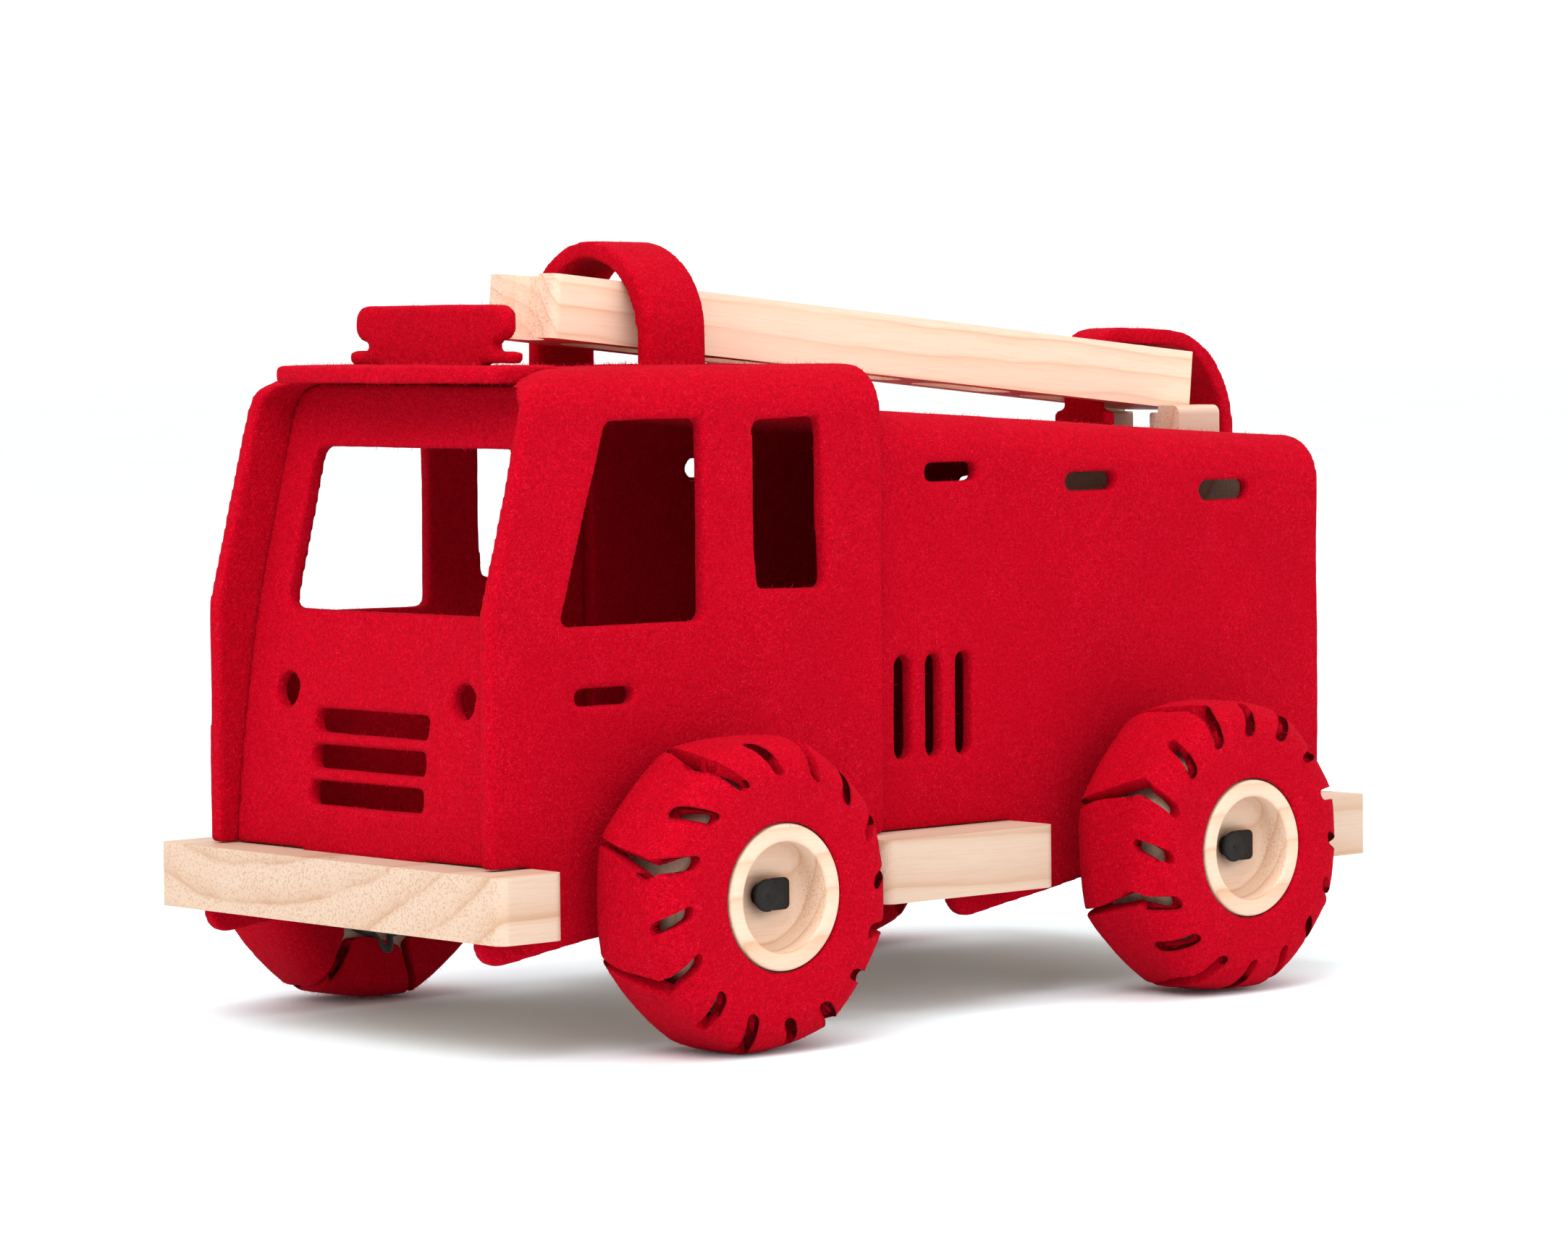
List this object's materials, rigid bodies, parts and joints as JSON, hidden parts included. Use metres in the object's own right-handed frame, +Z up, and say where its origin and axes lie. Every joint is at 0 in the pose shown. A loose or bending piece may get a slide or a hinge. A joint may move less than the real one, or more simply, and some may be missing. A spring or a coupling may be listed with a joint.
{
  "type": "toy fire engine",
  "caption": "Push-along toy fire engine: wooden chassis board, felt bodywork, felt-tyred turning wheels and a wooden roof ladder held by felt straps.",
  "frame": {"origin": "centre of the bounding box, at ground level", "axes": "+X forward, +Y to the vehicle's left, +Z up"},
  "size_m": [0.415, 0.24, 0.2568],
  "materials": {
    "pine": "planed, unfinished",
    "red_felt": "thick pressed wool felt",
    "cord": "black waxed lacing cord",
    "stop": "dark moulded",
    "steel": "drawn rod"
  },
  "bodies": {
    "vehicle": {"chassis_board": "pine", "rear_bulkhead": "pine", "bulkhead_dowel_left": "pine", "bulkhead_dowel_right": "pine", "cab_shell": "red_felt", "front_panel": "red_felt", "visor": "red_felt", "light_bar": "red_felt", "body_shell": "red_felt", "rear_panel": "red_felt", "ladder_loop": "red_felt", "ladder_hook": "red_felt", "front_axle": "steel", "rear_axle": "steel", "axle_stop_front_left": "stop", "wheel_spacer_front_left": "pine", "axle_stop_front_right": "stop", "wheel_spacer_front_right": "pine", "axle_stop_rear_left": "stop", "wheel_spacer_rear_left": "pine", "axle_stop_rear_right": "stop", "wheel_spacer_rear_right": "pine"},
    "ladder": {"ladder": "pine"},
    "wheel_front_left": {"wheel_disc_front_left": "pine", "tyre_front_left": "red_felt", "tyre_lacing_front_left": "cord"},
    "wheel_front_right": {"wheel_disc_front_right": "pine", "tyre_front_right": "red_felt", "tyre_lacing_front_right": "cord"},
    "wheel_rear_left": {"wheel_disc_rear_left": "pine", "tyre_rear_left": "red_felt", "tyre_lacing_rear_left": "cord"},
    "wheel_rear_right": {"wheel_disc_rear_right": "pine", "tyre_rear_right": "red_felt", "tyre_lacing_rear_right": "cord"}
  },
  "joints": [
    {"name": "ladder_slide", "type": "slide", "parent": "vehicle", "child": "ladder", "axis": [-0.9954, 0, -0.0959], "range_m": [-0.002, 0.004]},
    {"name": "wheel_front_left_spin", "type": "hinge", "parent": "vehicle", "child": "wheel_front_left", "pos_m": [0.1175, 0.1, 0.05], "axis": [0, 1, 0], "continuous": true},
    {"name": "wheel_front_right_spin", "type": "hinge", "parent": "vehicle", "child": "wheel_front_right", "pos_m": [0.1175, -0.1, 0.05], "axis": [0, 1, 0], "continuous": true},
    {"name": "wheel_rear_left_spin", "type": "hinge", "parent": "vehicle", "child": "wheel_rear_left", "pos_m": [-0.0965, 0.1, 0.05], "axis": [0, 1, 0], "continuous": true},
    {"name": "wheel_rear_right_spin", "type": "hinge", "parent": "vehicle", "child": "wheel_rear_right", "pos_m": [-0.0965, -0.1, 0.05], "axis": [0, 1, 0], "continuous": true}
  ]
}
